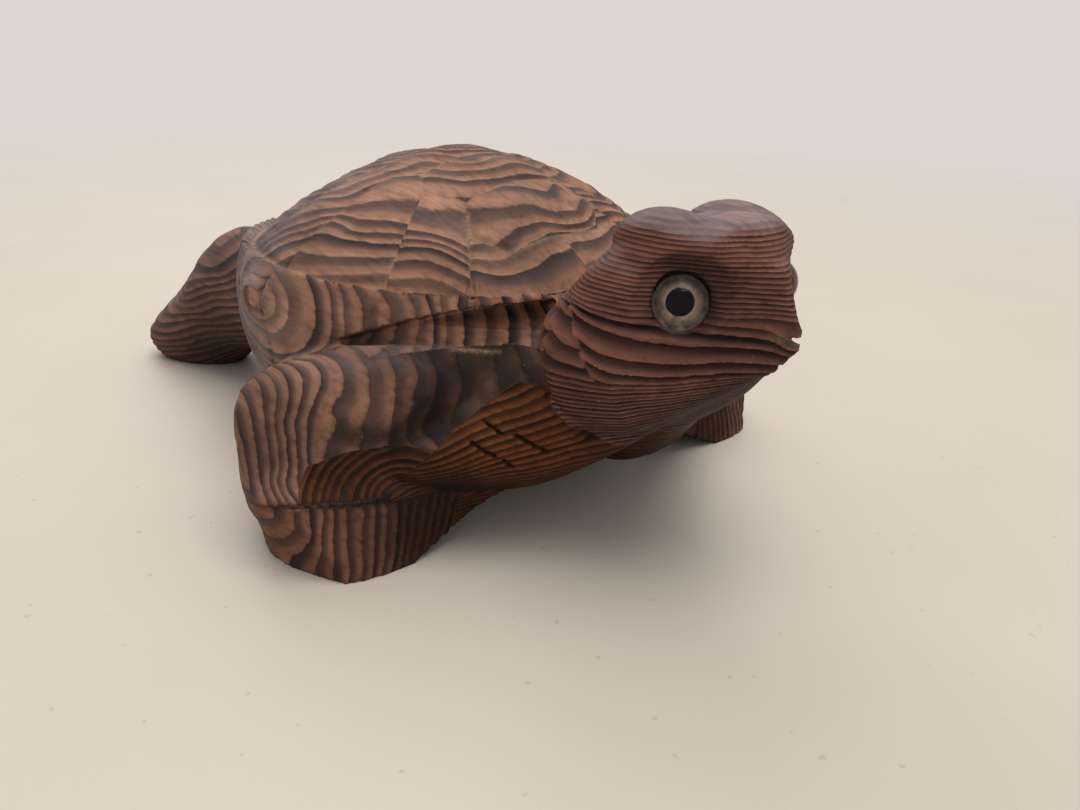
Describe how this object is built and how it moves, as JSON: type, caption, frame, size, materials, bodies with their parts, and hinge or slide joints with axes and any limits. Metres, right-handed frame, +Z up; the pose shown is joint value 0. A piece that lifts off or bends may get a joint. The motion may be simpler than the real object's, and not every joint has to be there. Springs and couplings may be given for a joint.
{
  "type": "turtle figurine",
  "caption": "Sea turtle carved from one block of burnt cedar, with a domed shell, raised head, spread flippers and inset glass eyes; it stands free on its flippers.",
  "frame": {"origin": "on the floor under the middle of the turtle's length, on the mid-plane of its shell", "axes": "+X to the turtle's left, +Y towards its tail, +Z up"},
  "size_m": [0.1232, 0.178, 0.0633],
  "materials": {
    "carved_wood": "satin",
    "eye_glass": "gloss",
    "eye_pupil": "gloss",
    "eye_cement": "matt",
    "eye_stem": "drawn wire"
  },
  "bodies": {
    "root": {"carved_body": "carved_wood", "right_eye_glass": "eye_glass", "right_eye_pupil": "eye_pupil", "right_eye_cement": "eye_cement", "right_eye_stem": "eye_stem", "left_eye_glass": "eye_glass", "left_eye_pupil": "eye_pupil", "left_eye_cement": "eye_cement", "left_eye_stem": "eye_stem"}
  },
  "joints": []
}
